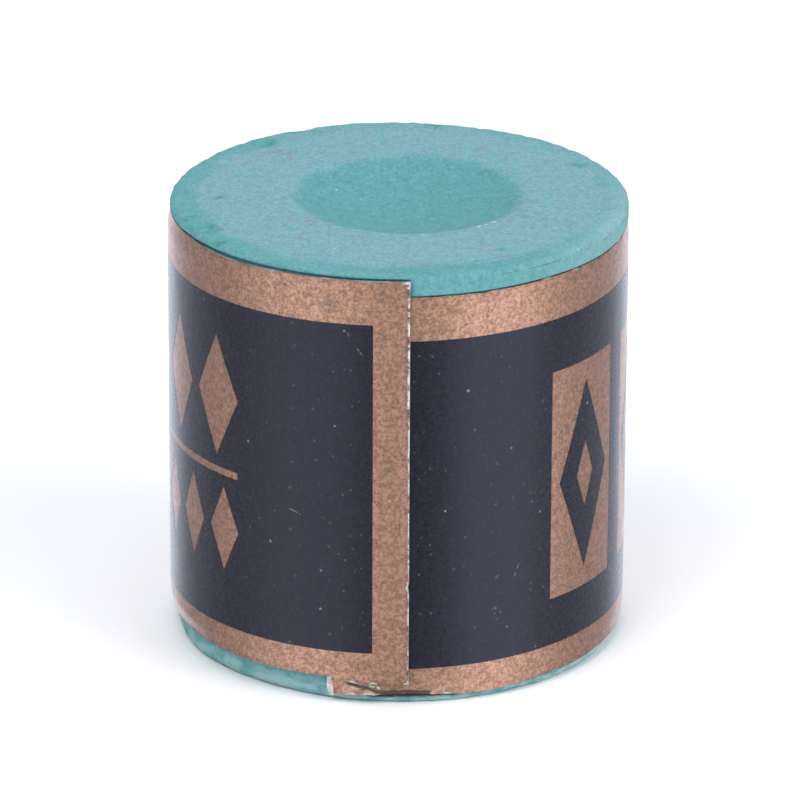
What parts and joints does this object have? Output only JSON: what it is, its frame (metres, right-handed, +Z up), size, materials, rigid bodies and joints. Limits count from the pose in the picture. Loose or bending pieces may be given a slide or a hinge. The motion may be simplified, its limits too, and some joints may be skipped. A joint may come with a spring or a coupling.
{
  "type": "cue chalk",
  "caption": "Round pressed block of billiard cue chalk, dished on top, with a printed paper label wound round its wall and lapped at the front.",
  "frame": {"origin": "centre of the flat face that the block stands on", "axes": "+Z up the block's axis towards the dish; the label's lap faces -Y"},
  "size_m": [0.0225, 0.0225, 0.022],
  "materials": {
    "chalk": "dry powdery matte, blue-green",
    "paste": "dried starch paste",
    "label_paper": "uncoated white fibre",
    "bronze_print": "satin metallic bronze print, finely speckled",
    "dark_print": "satin blue-black print"
  },
  "bodies": {
    "root": {"chalk_block": "chalk", "wrap_glue": "paste", "label_paper": "label_paper", "bronze_print": "bronze_print", "dark_print": "dark_print", "lap_glue": "paste"}
  },
  "joints": []
}
